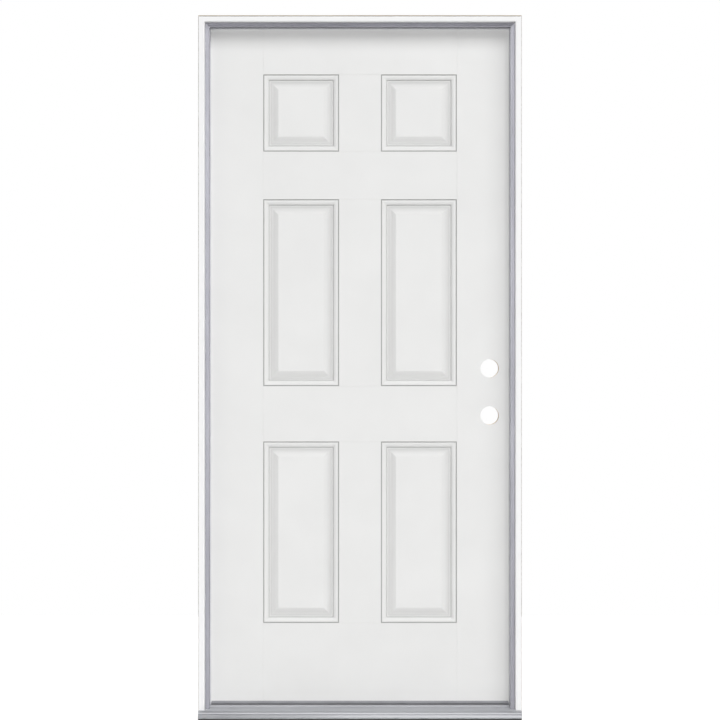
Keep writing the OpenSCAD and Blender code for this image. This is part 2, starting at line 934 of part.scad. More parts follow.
hinge_jamb();
strike_jamb();
head_jamb();
hinge_stop_facing();
strike_stop_facing();
head_stop_facing();
hinge_seal();
strike_seal();
head_seal();
hinge_corner_pad();
strike_corner_pad();
sill_core();
sill_deck();
sill_cap();
sill_cap_screws();
frame_screws();
frame_leaf(hinge_high_z);  // frame_leaf_top
frame_leaf(hinge_mid_z);  // frame_leaf_middle
frame_leaf(hinge_low_z);  // frame_leaf_bottom
hinge_pin(hinge_high_z);  // hinge_pin_top
hinge_pin(hinge_mid_z);  // hinge_pin_middle
hinge_pin(hinge_low_z);  // hinge_pin_bottom
frame_leaf_screws();
exterior_skin();
interior_skin();
hinge_stile();
lock_stile();
top_rail();
bottom_rail();
lock_block();
foam_core();
door_sweep();
door_leaf(hinge_high_z);  // door_leaf_top
door_leaf(hinge_mid_z);  // door_leaf_middle
door_leaf(hinge_low_z);  // door_leaf_bottom
door_leaf_screws();
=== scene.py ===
# %% [markdown]
# # A six-panel front door, hung in its own frame
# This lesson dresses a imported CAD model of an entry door. The CAD part gives every piece its
# true size and place, and it knows how the door swings. Blender adds what the eye judges:
# crisp mouldings, soft edges, paint, wood, metal, vinyl, foam, and a quiet studio.
# Everything is in metres, +Z is up, and the outside of the house is towards -Y.

# %% Load the frame
import math

import bmesh
import bpy
from mathutils import Matrix, Vector


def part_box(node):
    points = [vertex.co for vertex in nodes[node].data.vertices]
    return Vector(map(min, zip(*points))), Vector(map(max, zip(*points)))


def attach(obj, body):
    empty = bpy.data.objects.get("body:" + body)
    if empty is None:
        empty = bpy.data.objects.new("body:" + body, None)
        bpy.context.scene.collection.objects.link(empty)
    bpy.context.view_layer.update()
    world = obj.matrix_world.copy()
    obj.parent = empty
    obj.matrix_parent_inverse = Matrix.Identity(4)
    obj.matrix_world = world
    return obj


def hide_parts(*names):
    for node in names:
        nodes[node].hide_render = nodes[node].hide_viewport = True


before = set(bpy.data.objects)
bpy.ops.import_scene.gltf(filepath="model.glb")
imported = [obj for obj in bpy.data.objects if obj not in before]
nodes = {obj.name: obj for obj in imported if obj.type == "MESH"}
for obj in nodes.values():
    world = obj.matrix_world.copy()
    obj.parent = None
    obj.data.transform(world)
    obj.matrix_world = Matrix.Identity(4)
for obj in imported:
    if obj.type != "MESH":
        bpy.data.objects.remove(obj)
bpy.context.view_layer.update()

MM = 0.001

# %% [markdown]
# ## Small helpers
# A colour picker shows sRGB values, and a shader wants linear ones, so one function converts
# every colour in this lesson. Another adds a shader or geometry node, sets its properties and
# fills its inputs, with either a number or a link. With these two, a node tree reads top to
# bottom like a recipe.

# %% Helpers for colours and nodes
def linear(hex_colour):
    """The linear RGBA of an sRGB colour such as "e8e8e8"."""
    channels = [int(hex_colour[i:i + 2], 16) / 255 for i in (0, 2, 4)]
    curve = [c / 12.92 if c <= 0.04045 else ((c + 0.055) / 1.055) ** 2.4 for c in channels]
    return (*curve, 1.0)


def add(tree, kind, inputs=None, **settings):
    """Adds a node, sets its properties, and fills or links its inputs by name or number."""
    node = tree.nodes.new(kind)
    for name, value in settings.items():
        setattr(node, name, value)
    for key, value in (inputs or {}).items():
        socket = node.inputs[key]
        if isinstance(value, bpy.types.NodeSocket):
            tree.links.new(value, socket)
        else:
            socket.default_value = value
    return node


def grain(size_mm):
    """The texture scale at which a feature is about size_mm across."""
    return 1 / (size_mm * MM)


print("sRGB 808080 is", round(linear("808080")[0], 3), "linear;",
      "a 5 mm grain has the texture scale", grain(5))


# %% [markdown]
# ## Finishes
# Every finish starts from what the real one is. Each is a Principled shader whose colour,
# roughness and bump come from noise in Object coordinates, so the pattern sits still on the
# piece while the door swings. Extruded metal, brushed paint and wood all have a direction, so
# a Mapping node squeezes the noise across that direction and stretches it along it. The
# functions below are the words that every finish is written with.

# %% Build a finish from a few words
PLASTIC_IOR = 1.5          # paint, wood, foam and vinyl all bend light about this much
NOISE_LOW, NOISE_HIGH = 0.3, 0.7     # nearly all of a Noise texture lies between these
finishes = {}


def new_material(name):
    material = bpy.data.materials.new(name)
    material.use_nodes = True
    material.node_tree.nodes.clear()
    return material, material.node_tree


def stretched(tree, along, length_mm, width_mm):
    """Object coordinates squeezed so that noise makes streaks along one axis."""
    scale = [grain(length_mm) if axis == along else grain(width_mm) for axis in "XYZ"]
    coordinates = add(tree, "ShaderNodeTexCoord")
    return add(tree, "ShaderNodeMapping", {
        "Vector": coordinates.outputs["Object"], "Scale": scale,
    }).outputs["Vector"]


def spread(tree, factor, low, high):
    """A number between low and high, led by a noise texture's factor."""
    return add(tree, "ShaderNodeMapRange", {
        "Value": factor, "From Min": NOISE_LOW, "From Max": NOISE_HIGH,
        "To Min": low, "To Max": high}).outputs["Result"]


def blend_colours(tree, factor, first, second):
    """Mixes two colours, given as values or as links. Sockets 6 and 7 are the node's RGBA pair."""
    node = add(tree, "ShaderNodeMix", data_type="RGBA")
    tree.links.new(factor, node.inputs["Factor"])
    for slot, value in ((6, first), (7, second)):
        if isinstance(value, bpy.types.NodeSocket):
            tree.links.new(value, node.inputs[slot])
        else:
            node.inputs[slot].default_value = value
    return node.outputs[2]


def finish_shader(tree, colour, roughness, bumps, **fixed):
    """Ends a material: a Principled shader with its bumps chained, coarse ones first."""
    normal = None
    for height, depth_mm in bumps:
        inputs = {"Height": height, "Distance": depth_mm * MM, "Strength": 1.0}
        if normal:
            inputs["Normal"] = normal
        normal = add(tree, "ShaderNodeBump", inputs).outputs["Normal"]
    inputs = {"Base Color": colour, "Roughness": roughness}
    if normal:
        inputs["Normal"] = normal
    inputs.update({key.replace("_", " ").title().replace("Ior", "IOR"): value
                   for key, value in fixed.items()})
    shader = add(tree, "ShaderNodeBsdfPrincipled", inputs)
    add(tree, "ShaderNodeOutputMaterial", {"Surface": shader.outputs["BSDF"]})


def keep_finish(word, material):
    """Files a finish under a short word for the rest of the lesson."""
    finishes[word] = material
    print(word, "is", material.name, "with", len(material.node_tree.nodes), "nodes")


# %% [markdown]
# ** White primer on moulded skin.** A fibreglass skin leaves its mould almost dead flat and gets
# a sprayed primer. The eye sees a neutral white with a soft sheen, a faint orange peel and a
# very slow waviness. The real peel is under a millimetre across, so it is drawn a little
# coarser, at 2.5 mm. In the narrow grooves and at the foot of the recesses the white is painted
# grey as shade, by an attribute made with the mouldings further on that says where.

# %% Primer for the moulded skins
def skin_primer():
    material, tree = new_material("sprayed_primer_on_skin")
    coordinates = add(tree, "ShaderNodeTexCoord").outputs["Object"]
    peel = add(tree, "ShaderNodeTexNoise", {
        "Vector": coordinates, "Scale": grain(2.5), "Detail": 3.0, "Roughness": 0.55})
    wave = add(tree, "ShaderNodeTexNoise", {
        "Vector": coordinates, "Scale": grain(160), "Detail": 2.0})
    white = blend_colours(tree, spread(tree, wave.outputs["Fac"], 0.0, 1.0),
                          linear("ebebea"), linear("eeeeed"))
    # Painted shade: the white turns grey in the grooves and recesses, where the attribute says.
    painted_shade = add(tree, "ShaderNodeAttribute", attribute_name="painted_groove_shade").outputs["Fac"]
    colour = blend_colours(tree, painted_shade, white, linear("b4b4b3"))
    roughness = spread(tree, peel.outputs["Fac"], 0.44, 0.52)
    finish_shader(tree, colour, roughness,
                  [(wave.outputs["Fac"], 0.25), (peel.outputs["Fac"], 0.02)], ior=PLASTIC_IOR)
    return material


keep_finish("skin", skin_primer())

# %% [markdown]
# **Pine.** Clear pine shows as long bands of dark late wood in a pale straw ground, about 12 to
# 25 mm apart on a plain-sawn face, with fine fibres along them. A Wave texture bent by noise
# gives the bands, and a stretched noise gives the fibres. Planed and unpainted, it is matt and
# warm beside the white. Real fibres are a tenth of a millimetre; they are drawn at 1.2 mm.

# %% Colour of planed pine
def pine(tree, along):
    """The colour of pine that runs along an axis, and the height of its fibres."""
    rings = add(tree, "ShaderNodeTexWave", {
        "Vector": stretched(tree, along, 1400, 60), "Scale": 1.0, "Distortion": 6.0,
        "Detail": 3.0, "Detail Scale": 1.3}, bands_direction="DIAGONAL")
    fibres = add(tree, "ShaderNodeTexNoise", {
        "Vector": stretched(tree, along, 90, 1.2), "Scale": 1.0, "Detail": 4.0})
    early = blend_colours(tree, spread(tree, fibres.outputs["Fac"], 0, 1),
                          linear("dcc396"), linear("ead6ae"))
    late = add(tree, "ShaderNodeMapRange", {
        "Value": rings.outputs["Fac"], "From Min": 0.35, "From Max": 1.0,
        "To Max": 0.75}).outputs["Result"]
    return blend_colours(tree, late, early, linear("c39b62")), fibres.outputs["Fac"]


def bare_pine(name, along):
    material, tree = new_material(name)
    colour, fibres = pine(tree, along)
    finish_shader(tree, colour, spread(tree, fibres, 0.55, 0.7), [(fibres, 0.08)],
                  ior=PLASTIC_IOR)
    return material


keep_finish("pine_up", bare_pine("bare_pine_upright", "Z"))
keep_finish("pine_across", bare_pine("bare_pine_across", "X"))

# %% [markdown]
# ** White primer on wooden jambs.** Here the primer is laid on planed pine, so the grain
# telegraphs through as long shallow streaks. The jambs' backs face the rough opening and are
# left bare pine. Along the outer edge a ragged grey line of painted shade draws the frame's
# outline against a white wall. It is wider and darker along the head than up the legs.

# %% Primer for the jambs
RAG = 1.2 * MM             # how far the edge of the painted shade line wanders
EDGE_FADE = 0.3 * MM       # the width over which the primer gives way to the painted shade line
HEAD_ROUND = 0.8 * MM      # the head's top arris is rounded, so its ring starts lower
BACK_FROM, BACK_TO = -0.3 * MM, -0.1 * MM      # bare pine begins this close to the back


def jamb_primer(name, along, half_width, top, edge_shade, edge_shade_width):
    """Primer on pine. Near the outer edges it gives way to a grey of painted shade, and on the
    back faces to bare pine.
    """
    material, tree = new_material(name)
    coordinates = add(tree, "ShaderNodeTexCoord").outputs["Object"]
    fibres = add(tree, "ShaderNodeTexNoise", {
        "Vector": stretched(tree, along, 120, 1.6), "Scale": 1.0, "Detail": 4.0})
    rag = add(tree, "ShaderNodeTexNoise", {
        "Vector": coordinates, "Scale": grain(7), "Detail": 3.0})
    place = add(tree, "ShaderNodeSeparateXYZ", {"Vector": coordinates})
    side = add(tree, "ShaderNodeMath", {0: place.outputs["X"]}, operation="ABSOLUTE")
    out_x = add(tree, "ShaderNodeMath", {
        0: side.outputs[0], 1: half_width}, operation="SUBTRACT")
    out_z = add(tree, "ShaderNodeMath", {
        0: place.outputs["Z"], 1: top - HEAD_ROUND}, operation="SUBTRACT")
    outward = add(tree, "ShaderNodeMath", {
        0: out_x.outputs[0], 1: out_z.outputs[0]}, operation="MAXIMUM")
    ragged = add(tree, "ShaderNodeMath", {
        0: rag.outputs["Fac"], 1: RAG, 2: outward.outputs[0]}, operation="MULTIPLY_ADD")
    # This mask takes the grey line of painted shade near the outer edges, and bare pine at the
    # back.
    bare = add(tree, "ShaderNodeMapRange", {
        "Value": ragged.outputs[0], "From Min": -edge_shade_width - EDGE_FADE, "From Max": -edge_shade_width})
    back = add(tree, "ShaderNodeMapRange", {
        "Value": outward.outputs[0], "From Min": BACK_FROM, "From Max": BACK_TO})
    white = blend_colours(tree, spread(tree, fibres.outputs["Fac"], 0, 1),
                          linear("f7f7f8"), linear("fbfbfb"))
    # Painted shade grey, giving way to bare pine on the back faces.
    arris = blend_colours(tree, back.outputs["Result"], linear(edge_shade), pine(tree, along)[0])
    colour = blend_colours(tree, bare.outputs["Result"], white, arris)
    roughness = spread(tree, fibres.outputs["Fac"], 0.42, 0.55)
    finish_shader(tree, colour, roughness, [(fibres.outputs["Fac"], 0.05)], ior=PLASTIC_IOR)
    return material


frame_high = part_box("head_jamb")[1]
# The greys here are painted shade along the outer edge, darker and wider on the head.
keep_finish("leg", jamb_primer(
    "brushed_primer_upright", "Z", frame_high.x, frame_high.z, "aaa6a2", 0.4 * MM))
keep_finish("head", jamb_primer(
    "brushed_primer_head", "X", frame_high.x, frame_high.z, "77726e", 1.5 * MM))

# %% [markdown]
# ** Extruded aluminium.** The die drags fine lines along every length of extrusion, so light
# smears across them. Anodising turns the stops' facing a satin blue-grey, and the sill is left
# as it came from the mill, paler and duller. The head's facing is a darker copy of the same
# finish: painted shade, as under the head jamb's lip. Real die lines are finer than a render
# shows, so they are drawn 0.6 mm apart.

# %% Aluminium
def aluminium(name, along, dark, light, low, high):
    material, tree = new_material(name)
    lines = add(tree, "ShaderNodeTexNoise", {
        "Vector": stretched(tree, along, 400, 0.6), "Scale": 1.0, "Detail": 3.0})
    cloud = add(tree, "ShaderNodeTexNoise", {
        "Vector": stretched(tree, along, 300, 25), "Scale": 1.0, "Detail": 3.0})
    tone = add(tree, "ShaderNodeMath", {
        0: lines.outputs["Fac"], 1: 0.7, 2: cloud.outputs["Fac"]}, operation="MULTIPLY_ADD")
    factor = add(tree, "ShaderNodeMapRange", {
        "Value": tone.outputs[0], "From Min": 0.55, "From Max": 1.15}).outputs["Result"]
    colour = blend_colours(tree, factor, linear(dark), linear(light))
    finish_shader(tree, colour, spread(tree, lines.outputs["Fac"], low, high),
                  [(lines.outputs["Fac"], 0.03)], metallic=1.0)
    return material


keep_finish("stop_leg", aluminium(
    "anodised_aluminium_upright", "Z", "8f8f96", "a0a0a7", 0.42, 0.55))
# The same anodising made darker: painted shade for the head's facing.
keep_finish("stop_head_shaded", aluminium(
    "anodised_aluminium_head_painted_shade", "X", "7a7a80", "88888f", 0.42, 0.55))
keep_finish("sill", aluminium(
    "mill_finish_aluminium", "X", "b2b3b7", "c3c4c7", 0.52, 0.64))

# %% [markdown]
# **Plastics and foams.** All of these are matt, and they differ by tone, by pore size and by
# how deep the pores are. The cap is moulded composite, even and a little shiny. The sill's
# core is pressed substrate, dark and rough. The sweep is extruded vinyl, smooth and mid grey.
# The seals are foam under a stretched film, pale with a faint gloss. The corner pads are open
# foam and the filling is rigid foam: both look dry and pitted, the filling straw-coloured.
# Each row gives two tones, the pore size and depth in millimetres, and the roughness.

# %% Plastics and foams
PATCH = 30                 # slow patches of tone are this many pores across


def soft_plastic(name, dark, light, pore_mm, depth_mm, low, high):
    """A matt plastic or foam with pores of a given size and depth."""
    material, tree = new_material(name)
    coordinates = add(tree, "ShaderNodeTexCoord").outputs["Object"]
    pores = add(tree, "ShaderNodeTexNoise", {
        "Vector": coordinates, "Scale": grain(pore_mm), "Detail": 4.0})
    patches = add(tree, "ShaderNodeTexNoise", {
        "Vector": coordinates, "Scale": grain(pore_mm * PATCH), "Detail": 2.0})
    colour = blend_colours(tree, spread(tree, patches.outputs["Fac"], 0, 1),
                           linear(dark), linear(light))
    finish_shader(tree, colour, spread(tree, pores.outputs["Fac"], low, high),
                  [(pores.outputs["Fac"], depth_mm)], ior=PLASTIC_IOR)
    return material


for word, name, dark, light, pore, deep, low, high in (
        ("cap", "moulded_composite", "a9a9ad", "b3b3b7", 1.2, 0.03, 0.5, 0.6),
        ("core", "sill_substrate", "59595b", "636365", 2.0, 0.1, 0.7, 0.8),
        ("vinyl", "grey_vinyl", "98989d", "a3a3a8", 1.5, 0.02, 0.45, 0.6),
        ("seal", "foam_seal_film", "ececf0", "f2f2f5", 1.5, 0.05, 0.55, 0.7),
        ("pad", "open_foam", "c9c9cd", "d6d6da", 1.0, 0.15, 0.8, 0.9),
        ("filling", "rigid_foam", "e2d3a0", "eadeb4", 1.5, 0.2, 0.8, 0.9)):
    keep_finish(word, soft_plastic(name, dark, light, pore, deep, low, high))

# %% [markdown]
# **Plated steel.** The hinges are pressed from sheet, brushed and plated in satin nickel, a
# slightly warm grey that blurs what it mirrors. The screws' plating is a little lighter. The
# brush lines are far finer than a render shows, so they are drawn 0.35 mm apart.

# %% Plated steel
def satin_steel(name, dark, light):
    material, tree = new_material(name)
    brushed = add(tree, "ShaderNodeTexNoise", {
        "Vector": stretched(tree, "Z", 25, 0.35), "Scale": 1.0, "Detail": 3.0})
    colour = blend_colours(tree, spread(tree, brushed.outputs["Fac"], 0, 1),
                           linear(dark), linear(light))
    finish_shader(tree, colour, spread(tree, brushed.outputs["Fac"], 0.26, 0.38),
                  [(brushed.outputs["Fac"], 0.012)], metallic=1.0)
    return material


keep_finish("steel", satin_steel("satin_nickel_plate", "b3aca0", "c6c0b4"))
keep_finish("screw", satin_steel("plated_screw_steel", "bdb7aa", "d0cbc0"))

# %% [markdown]
# ## Dress the CAD pieces
# Ten CAD pieces already have the right shape: the jambs, the sill's core, and the timber and
# foam inside the slab. They only need a finish, so only their material slots are filled. All
# the other pieces are made anew below.

# %% Give the plain CAD pieces their finish
DRESSED = {
    "leg": ("hinge_jamb", "strike_jamb"),
    "head": ("head_jamb",),
    "core": ("sill_core",),
    "filling": ("foam_core",),
    "pine_up": ("hinge_stile", "lock_stile", "lock_block"),
    "pine_across": ("top_rail", "bottom_rail"),
}
for word, names in DRESSED.items():
    for name in names:
        nodes[name].data.materials.clear()
        nodes[name].data.materials.append(finishes[word])
print("dressed", sum(len(names) for names in DRESSED.values()), "CAD pieces")

# %% [markdown]
# ## The moulded skins
# Each face of the slab is one moulded sheet. Six panels sit in a grid of stiles and rails, and
# round each panel runs the same moulding. That is a shape with a rule, so Geometry Nodes make
# it: six rectangles go in, a Repeat Zone insets them again and again, and a Float Curve says
# how deep each inset lies. The corners come out mitred by themselves. First come the
# rectangles, laid out from the widths of the stiles and rails.

# %% Panel layout, in millimetres
STILE, MULLION = 167, 124
BOTTOM_RAIL, LOWER_PANEL, LOCK_RAIL = 235, 538, 164
FRIEZE_RAIL, SMALL_PANEL, TOP_RAIL = 141, 229, 146
MOULDING_WIDTH = 48
RECESS_DEPTH = 8.5
FIELD_DEPTH = 1.5
SKIN_THICKNESS = 2
BORE_DIAMETER, BORE_BACKSET = 54, 69.9
BORE_HEIGHTS = (850, 989.7)

skin_low, skin_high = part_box("exterior_skin")
slab_width = (skin_high.x - skin_low.x) / MM
slab_height = (skin_high.z - skin_low.z) / MM
upper_panel = (slab_height - BOTTOM_RAIL - LOWER_PANEL - LOCK_RAIL - FRIEZE_RAIL
               - SMALL_PANEL - TOP_RAIL)
row_bottoms = [BOTTOM_RAIL, BOTTOM_RAIL + LOWER_PANEL + LOCK_RAIL]
row_bottoms.append(row_bottoms[1] + upper_panel + FRIEZE_RAIL)
rows = list(zip(row_bottoms, (LOWER_PANEL, upper_panel, SMALL_PANEL)))
stile_line = slab_width / 2 - STILE
columns = [(-stile_line, -MULLION / 2), (MULLION / 2, stile_line)]
panels = [(left, right, bottom, bottom + height)
          for bottom, height in rows for left, right in columns]
print("panels", [tuple(round(v) for v in panel) for panel in panels])

# %% [markdown]
# Next comes the moulding's section, from the outline inwards: a narrow quirk, a shallow ovolo
# that falls away along an ellipse, a crease with a small fillet in it, and an
# S-shaped bevel that climbs to the raised field. Painted shade darkens the quirk, the crease
# and the foot of the bevel.

# %% The moulding's section, in millimetres
QUIRK = ((0, 0), (0.3, 0), (1.0, 2.7), (2.3, 2.7))
OVOLO_START, OVOLO_WIDTH, OVOLO_TOP, OVOLO_DROP = 3.3, 14, 0.8, 6.5
OVOLO_TURN, OVOLO_STEPS = 70, 10
CREASE, FILLET, FILLET_END, FILLET_RISE = 18, 19.3, 21.3, 0.7
CREASE_LEAD, CREASE_LIFT, CREASE_FLAT, FILLET_RAMP = 0.4, 0.3, 0.6, 0.8
BEVEL_START, BEVEL_WIDTH, BEVEL_SKEW, BEVEL_STEPS = 25, 22, 1.2, 12


def moulding_points():
    """Distance in from the panel's outline and depth below the face."""
    points = list(QUIRK)
    for step in range(OVOLO_STEPS + 1):
        angle = math.radians(OVOLO_TURN * step / OVOLO_STEPS)
        points.append((OVOLO_START + OVOLO_WIDTH * math.sin(angle),
                       OVOLO_TOP + OVOLO_DROP * (1 - math.cos(angle))))
    fillet_depth = RECESS_DEPTH - FILLET_RISE
    points += [(CREASE - CREASE_LEAD, RECESS_DEPTH - CREASE_LIFT), (CREASE, RECESS_DEPTH),
               (CREASE + CREASE_FLAT, RECESS_DEPTH), (FILLET, fillet_depth),
               (FILLET_END, fillet_depth), (FILLET_END + FILLET_RAMP, RECESS_DEPTH)]
    for step in range(BEVEL_STEPS + 1):
        share = (step / BEVEL_STEPS) ** BEVEL_SKEW
        climb = share * share * (3 - 2 * share)
        points.append((BEVEL_START + BEVEL_WIDTH * step / BEVEL_STEPS,
                       RECESS_DEPTH - (RECESS_DEPTH - FIELD_DEPTH) * climb))
    return points + [(MOULDING_WIDTH, FIELD_DEPTH)]


# How much painted shade darkens the skin, from 0 to 1, by the distance in from the panel's outline
GROOVE_SHADE_CURVE = [(0, 0.5), (0.4, 1), (2.6, 1), (3.6, 0), (15.5, 0), (17.2, 0.5), (18.8, 0.5),
              (19.6, 0.15), (21.2, 0.15), (22.2, 0.5), (26, 0.4), (33, 0.15), (38, 0),
              (MOULDING_WIDTH, 0)]
print("the section has", len(moulding_points()), "points")

# %% [markdown]
# The tree that does it comes in three parts. The first makes every corner of a rectangle
# remember its start and its way inwards, as named attributes, and marks each face as a field.

# %% What the corners remember
def remember_corners(tree, geometry):
    """Stores the attributes inward and corner on points, and field on faces."""
    position = add(tree, "GeometryNodeInputPosition").outputs["Position"]
    centre = add(tree, "GeometryNodeFieldOnDomain", data_type="FLOAT_VECTOR", domain="FACE")
    tree.links.new(position, centre.inputs["Value"])
    to_centre = add(tree, "ShaderNodeVectorMath", {
        0: centre.outputs["Value"], 1: position}, operation="SUBTRACT")
    inward = add(tree, "ShaderNodeVectorMath", {0: to_centre.outputs[0]}, operation="SIGN")
    for name, value in (("inward", inward.outputs[0]), ("corner", position)):
        geometry = add(tree, "GeometryNodeStoreNamedAttribute", {
            "Geometry": geometry, "Name": name, "Value": value},
            data_type="FLOAT_VECTOR", domain="POINT").outputs["Geometry"]
    return add(tree, "GeometryNodeStoreNamedAttribute", {
        "Geometry": geometry, "Name": "field", "Value": True},
        data_type="BOOLEAN", domain="FACE").outputs["Geometry"]


# %% [markdown]
# The second part is the Repeat Zone. Each turn extrudes the field in place, which leaves a ring
# of new faces round a new field, and then moves the new field's corners in and down by what the
# section says. A second curve keeps how much painted shade lies there.

# %% The zone that insets the field
def shape_curve(mapping, points, full):
    """Draws a section into a Float Curve, as shares of the moulding's width and of full."""
    curve = mapping.curves[0]
    while len(curve.points) < len(points):
        curve.points.new(0.5, 0.5)
    for point, (inset, value) in zip(curve.points, points):
        point.location = (inset / MOULDING_WIDTH, value / full)
        point.handle_type = "VECTOR"
    mapping.update()


def new_corners(tree, share, width, recess):
    """Where the field's corners go: in by a share of the width, down by the section."""
    profile = add(tree, "ShaderNodeFloatCurve", {"Value": share})
    shape_curve(profile.mapping, moulding_points(), RECESS_DEPTH)
    inset = add(tree, "ShaderNodeMath", {0: share, 1: width}, operation="MULTIPLY")
    depth = add(tree, "ShaderNodeMath", {
        0: profile.outputs["Value"], 1: recess}, operation="MULTIPLY")
    inward, corner = (
        add(tree, "GeometryNodeInputNamedAttribute", {"Name": name},
            data_type="FLOAT_VECTOR").outputs["Attribute"] for name in ("inward", "corner"))
    way_in = add(tree, "ShaderNodeVectorMath", {
        0: inward, "Scale": inset.outputs[0]}, operation="SCALE")
    way_down = add(tree, "ShaderNodeCombineXYZ", {"Y": depth.outputs[0]})
    moved = add(tree, "ShaderNodeVectorMath", {
        0: corner, 1: way_in.outputs[0]}, operation="ADD")
    return add(tree, "ShaderNodeVectorMath", {
        0: moved.outputs[0], 1: way_down.outputs[0]}, operation="ADD").outputs[0]


def inset_zone(tree, geometry, given):
    """Extrudes and moves the field as many times as the input Insets says."""
    start = add(tree, "GeometryNodeRepeatInput")
    end = add(tree, "GeometryNodeRepeatOutput")
    start.pair_with_output(end)
    tree.links.new(given.outputs["Insets"], start.inputs["Iterations"])
    tree.links.new(geometry, start.inputs["Geometry"])
    is_field = add(tree, "GeometryNodeInputNamedAttribute", {"Name": "field"},
                   data_type="BOOLEAN")
    extrude = add(tree, "GeometryNodeExtrudeMesh", {
        "Mesh": start.outputs["Geometry"], "Selection": is_field.outputs["Attribute"],
        "Offset Scale": 0.0, "Individual": True}, mode="FACES")
    top = extrude.outputs["Top"]
    mark = add(tree, "GeometryNodeStoreNamedAttribute", {
        "Geometry": extrude.outputs["Mesh"], "Name": "field", "Value": top},
        data_type="BOOLEAN", domain="FACE")
    count = add(tree, "ShaderNodeMath", {0: start.outputs["Iteration"], 1: 1.0}, operation="ADD")
    share = add(tree, "ShaderNodeMath", {
        0: count.outputs[0], 1: given.outputs["Insets"]}, operation="DIVIDE").outputs[0]
    # How much painted shade lies at this inset.
    paint = add(tree, "ShaderNodeFloatCurve", {"Value": share})
    shape_curve(paint.mapping, GROOVE_SHADE_CURVE, 1)
    set_place = add(tree, "GeometryNodeSetPosition", {
        "Geometry": mark.outputs["Geometry"], "Selection": top,
        "Position": new_corners(tree, share, given.outputs["Moulding Width"],
                                given.outputs["Recess Depth"])})
    # Stores the painted shade for the skin's finish to read.
    keep_painted_shade = add(tree, "GeometryNodeStoreNamedAttribute", {
        "Geometry": set_place.outputs["Geometry"], "Selection": top,
        "Name": "painted_groove_shade", "Value": paint.outputs["Value"]},
        data_type="FLOAT", domain="POINT")
    tree.links.new(keep_painted_shade.outputs["Geometry"], end.inputs["Geometry"])
    return end.outputs["Geometry"]


# %% [markdown]
# The third part gives the tree its named inputs, drops the attributes that nothing needs any
# more, and ends as every tree here does, in Realize Instances and Set Material.

# %% A geometry tree that turns rectangles into raised panels
def new_tree(name, sockets):
    """A geometry tree with the named inputs that the sockets list, and its Group Input node."""
    tree = bpy.data.node_groups.new(name, "GeometryNodeTree")
    for socket, kind in (("Geometry", "Geometry"), *sockets, ("Finish", "Material")):
        tree.interface.new_socket(socket, in_out="INPUT", socket_type="NodeSocket" + kind)
    tree.interface.new_socket("Geometry", in_out="OUTPUT", socket_type="NodeSocketGeometry")
    return tree, add(tree, "NodeGroupInput")


def end_tree(tree, geometry, given):
    """Ends a tree in plain geometry with its finish on."""
    real = add(tree, "GeometryNodeRealizeInstances", {"Geometry": geometry})
    finished = add(tree, "GeometryNodeSetMaterial", {
        "Geometry": real.outputs["Geometry"], "Material": given.outputs["Finish"]})
    add(tree, "NodeGroupOutput", {"Geometry": finished.outputs["Geometry"]})
    print(tree.name, "has", len(tree.nodes), "nodes")
    return tree


def panel_tree():
    tree, given = new_tree("raised_panels", (
        ("Moulding Width", "Float"), ("Recess Depth", "Float"), ("Insets", "Int")))
    geometry = remember_corners(tree, given.outputs["Geometry"])
    geometry = inset_zone(tree, geometry, given)
    for name in ("inward", "corner", "field"):
        geometry = add(tree, "GeometryNodeRemoveAttribute", {
            "Geometry": geometry, "Name": name}).outputs["Geometry"]
    return end_tree(tree, geometry, given)


panels_tree = panel_tree()

# %% [markdown]
# A tree runs as a modifier. Its inputs are set by their sockets' identifiers, before anything
# looks at the result, and the result is then kept as a plain mesh of its own.

# %% Run a tree and keep a plain mesh
def placed(name, data):
    """A new object in the scene, at the origin."""
    made = bpy.data.objects.new(name, data)
    bpy.context.scene.collection.objects.link(made)
    return made


def set_inputs(modifier, values):
    """Sets a modifier's inputs by the identifiers of its tree's sockets."""
    for item in modifier.node_group.interface.items_tree:
        if item.in_out == "INPUT" and item.name in values:
            modifier[item.identifier] = values[item.name]


def plain_mesh(name, source):
    """Turns an object with modifiers into a new object with one plain mesh."""
    graph = bpy.context.evaluated_depsgraph_get()
    mesh = bpy.data.meshes.new_from_object(source.evaluated_get(graph), depsgraph=graph)
    old_mesh = source.data
    bpy.data.objects.remove(source)
    bpy.data.meshes.remove(old_mesh)
    mesh.name = name
    return placed(name, mesh)


def object_from(name, bm):
    """Turns a bmesh into an object in the scene."""
    mesh = bpy.data.meshes.new(name)
    bm.to_mesh(mesh)
    bm.free()
    return placed(name, mesh)


# %% [markdown]
# The flat stiles and rails round the panels are one flat face with holes in it, for the
# panels and the two lock bores. A fill over closed loops makes that. Where a rail meets a
# stile the mould presses a fine line, drawn here as a shallow V with pointed ends.

# %% The flat of a skin
LINE_WIDTH, LINE_DEPTH = 1.8, 0.6      # millimetres
LINE_INSET = 0.3                       # of a line's width, kept free at both of its ends
BORE_STEPS = 96


def ring(bm, points):
    """Joins points into a closed loop of edges and returns its edges and corners."""
    corners = [bm.verts.new(point) for point in points]
    pairs = zip(corners, corners[1:] + corners[:1])
    return [bm.edges.new(pair) for pair in pairs], corners


